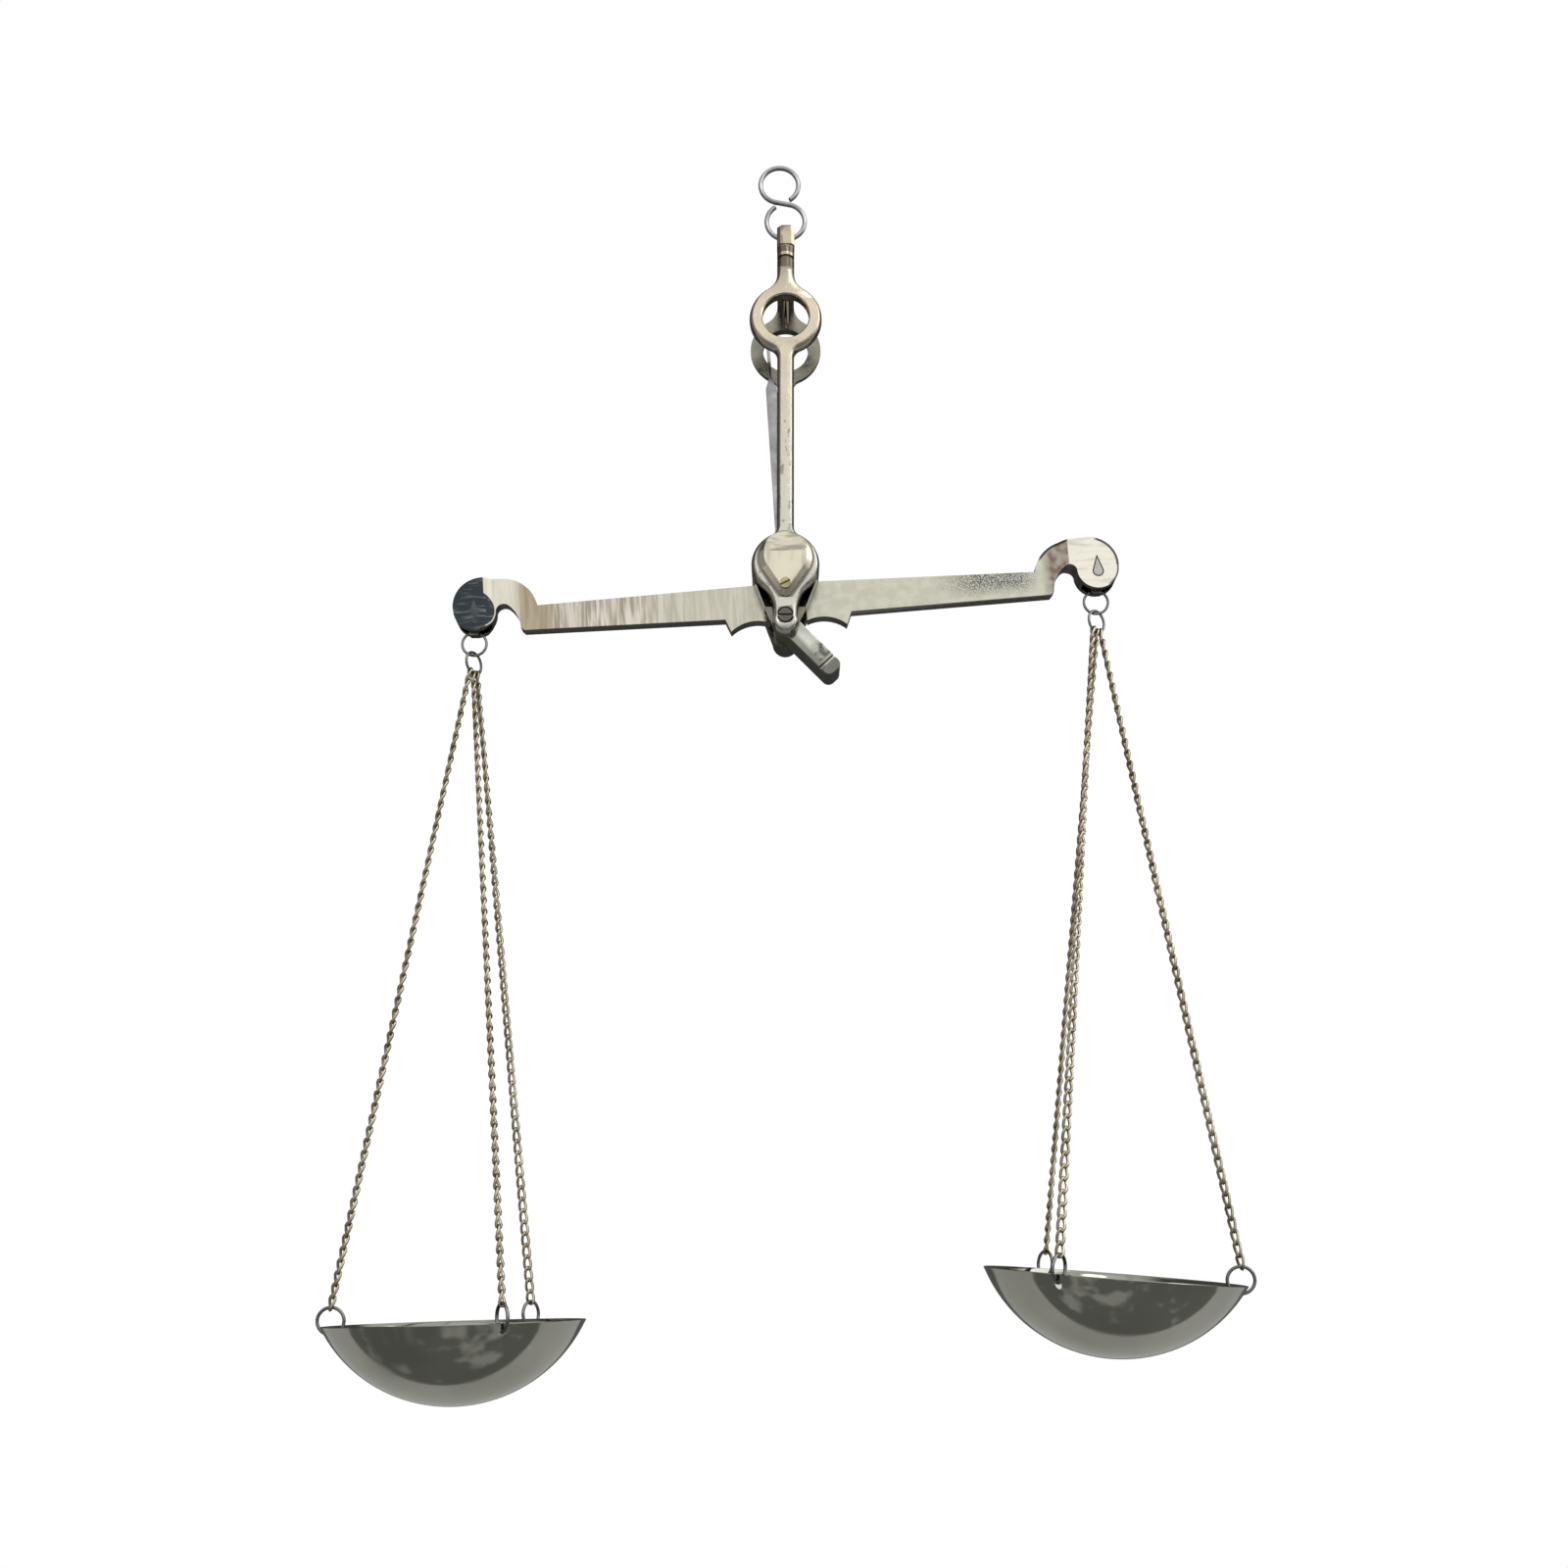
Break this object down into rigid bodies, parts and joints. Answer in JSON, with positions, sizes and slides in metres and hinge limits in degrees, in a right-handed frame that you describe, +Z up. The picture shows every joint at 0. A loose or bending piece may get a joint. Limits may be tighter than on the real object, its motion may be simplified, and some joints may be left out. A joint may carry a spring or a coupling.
{
  "type": "diamond scale",
  "caption": "Hand-held jeweller's beam balance: round pans on chains hang from a tilting beam in a tall fork with a hook above.",
  "frame": {"origin": "centre of the upper loop of the hook that the scale hangs by", "axes": "+X along the beam to the right, +Y away from the front face, +Z up"},
  "size_m": [0.2161, 0.06, 0.3108],
  "materials": {
    "wire_steel": "polished round wire",
    "stud_plating": "warm nickel plate, polished",
    "fork_plating": "warm nickel plate, polished, worn at the edges",
    "cap_plating": "polished nickel plate",
    "beam_plating": "nickel plate, brushed and scratched",
    "lever_chrome": "dark bright chrome",
    "knife_steel": "hardened and ground",
    "pointer_steel": "flat polished strip",
    "screw_steel": "turned, slotted",
    "ring_steel": "dark drawn wire",
    "chain_plating": "nickel plate worn to brown",
    "pan_steel": "spun and polished"
  },
  "bodies": {
    "hook": {"s_hook": "wire_steel"},
    "swivel": {"swivel_stud": "stud_plating", "swivel_collar": "screw_steel"},
    "fork": {"fork_crown": "fork_plating", "front_cheek": "fork_plating", "rear_cheek": "fork_plating", "front_bearing": "knife_steel", "rear_bearing": "knife_steel", "front_cap": "cap_plating", "rear_cap": "cap_plating", "cap_screws": "screw_steel", "lever_screw": "screw_steel"},
    "lever": {"arrest_lever": "lever_chrome"},
    "beam": {"beam": "beam_plating", "centre_knife": "knife_steel", "left_end_knife": "knife_steel", "right_end_knife": "knife_steel", "pointer": "pointer_steel"},
    "left_stirrup": {"left_stirrup": "ring_steel", "left_link_ring": "ring_steel"},
    "left_hanger": {"left_gathering_ring": "ring_steel", "left_outer_chain": "chain_plating", "left_front_chain": "chain_plating", "left_back_chain": "chain_plating", "left_rim_rings": "ring_steel", "left_pan": "pan_steel"},
    "right_stirrup": {"right_stirrup": "ring_steel", "right_link_ring": "ring_steel"},
    "right_hanger": {"right_gathering_ring": "ring_steel", "right_outer_chain": "chain_plating", "right_front_chain": "chain_plating", "right_back_chain": "chain_plating", "right_rim_rings": "ring_steel", "right_pan": "pan_steel"}
  },
  "joints": [
    {"name": "hook_swing", "type": "hinge", "parent": "hook", "child": "swivel", "pos_m": [0.0016, 0, -0.01485], "axis": [1, 0, 0], "range_deg": [-25, 25]},
    {"name": "fork_swivel", "type": "hinge", "parent": "swivel", "child": "fork", "pos_m": [0.0016, 0, -0.0271], "axis": [0, 0, 1], "continuous": true},
    {"name": "beam_rock", "type": "hinge", "parent": "fork", "child": "beam", "pos_m": [0.0016, 0, -0.1053], "axis": [0, 1, 0], "range_deg": [-2.9, 11.1]},
    {"name": "lever_turn", "type": "hinge", "parent": "fork", "child": "lever", "pos_m": [0.0016, 0, -0.1186], "axis": [0, 1, 0], "range_deg": [-4, 88]},
    {"name": "left_stirrup_swing", "type": "hinge", "parent": "beam", "child": "left_stirrup", "pos_m": [-0.0743, 0, -0.11219], "axis": [0, 1, 0], "range_deg": [-12, 12]},
    {"name": "left_pan_swing", "type": "hinge", "parent": "left_stirrup", "child": "left_hanger", "pos_m": [-0.0743, 0, -0.12548], "axis": [1, 0, 0], "range_deg": [-15, 15]},
    {"name": "right_stirrup_swing", "type": "hinge", "parent": "beam", "child": "right_stirrup", "pos_m": [0.07771, 0, -0.1013], "axis": [0, 1, 0], "range_deg": [-12, 12]},
    {"name": "right_pan_swing", "type": "hinge", "parent": "right_stirrup", "child": "right_hanger", "pos_m": [0.07771, 0, -0.11458], "axis": [1, 0, 0], "range_deg": [-15, 15]}
  ]
}
